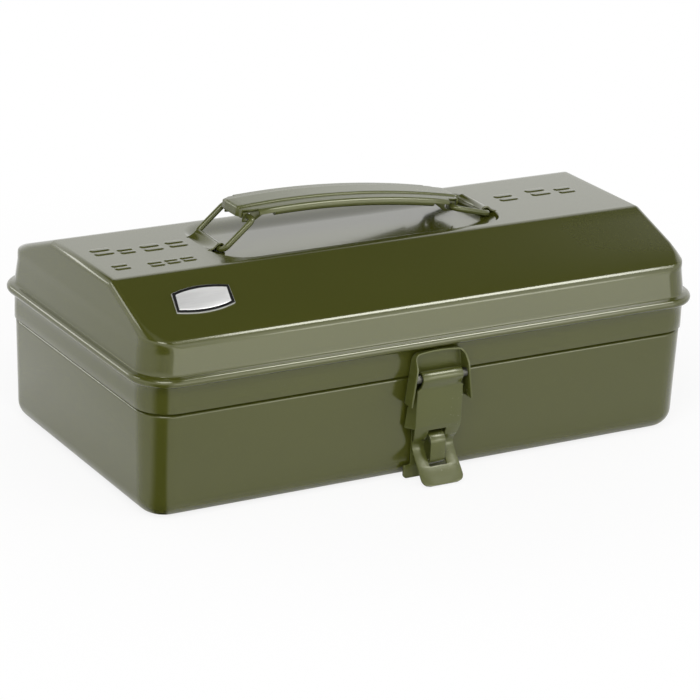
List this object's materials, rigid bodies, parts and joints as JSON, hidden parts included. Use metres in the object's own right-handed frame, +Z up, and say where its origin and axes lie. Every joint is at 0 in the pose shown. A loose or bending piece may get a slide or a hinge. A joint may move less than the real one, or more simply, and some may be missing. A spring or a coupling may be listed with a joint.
{
  "type": "metal tool box",
  "caption": "Small sheet-steel tool box with a gabled overlapping lid, rear hinges, a front hasp latch and a rocking strap handle on wire links.",
  "frame": {"origin": "middle of the base, on the surface that the box stands on", "axes": "+X along the length to the right as seen from the latch, +Y to the hinges at the back, +Z up"},
  "size_m": [0.2902, 0.1694, 0.1154],
  "materials": {
    "body_paint": "gloss olive enamel",
    "fitting_paint": "gloss olive enamel over pressed steel",
    "pin_steel": "bright zinc"
  },
  "bodies": {
    "box": {"body_tray": "body_paint", "latch_catch": "fitting_paint", "catch_rivet_left": "fitting_paint", "catch_rivet_right": "fitting_paint", "hinge_leaf_body_left": "fitting_paint", "hinge_pin_left": "pin_steel", "hinge_rivet_left_1": "fitting_paint", "hinge_rivet_left_2": "fitting_paint", "hinge_leaf_body_right": "fitting_paint", "hinge_pin_right": "pin_steel", "hinge_rivet_right_1": "fitting_paint", "hinge_rivet_right_2": "fitting_paint"},
    "lid": {"lid_shell": "body_paint", "latch_bracket": "fitting_paint", "latch_pin": "pin_steel", "handle_tunnel_left": "body_paint", "handle_tunnel_right": "body_paint", "hinge_leaf_lid_left": "fitting_paint", "hinge_leaf_lid_right": "fitting_paint"},
    "latch_lever": {"latch_lever": "fitting_paint"},
    "handle_link_left": {"handle_wire_left": "fitting_paint"},
    "handle_link_right": {"handle_wire_right": "fitting_paint"},
    "handle_grip": {"handle_grip": "fitting_paint", "grip_yoke_left": "fitting_paint", "grip_yoke_right": "fitting_paint"}
  },
  "joints": [
    {"name": "lid_hinge", "type": "hinge", "parent": "box", "child": "lid", "pos_m": [0, 0.0778, 0.048], "axis": [-1, 0, 0], "range_deg": [0, 105]},
    {"name": "latch_swing", "type": "hinge", "parent": "lid", "child": "latch_lever", "pos_m": [0, -0.0808, 0.0495], "axis": [-1, 0, 0], "range_deg": [0, 120]},
    {"name": "handle_rock", "type": "hinge", "parent": "lid", "child": "handle_link_left", "pos_m": [-0.075, 0, 0.09735], "axis": [0, 1, 0], "range_deg": [0, 25.9]},
    {"name": "handle_link_follow", "type": "hinge", "parent": "lid", "child": "handle_link_right", "pos_m": [0.065, 0, 0.09735], "axis": [0, 1, 0], "range_deg": [-0.5, 26.5]},
    {"name": "grip_tilt", "type": "hinge", "parent": "handle_link_left", "child": "handle_grip", "pos_m": [-0.06017, 0, 0.11001], "axis": [0, 1, 0], "range_deg": [-34.74, 0.5]}
  ],
  "couplings": [
    {"joint": "handle_link_follow", "follows": "handle_rock", "ratio": 1},
    {"joint": "grip_tilt", "follows": "handle_rock", "ratio": -1.3219}
  ]
}
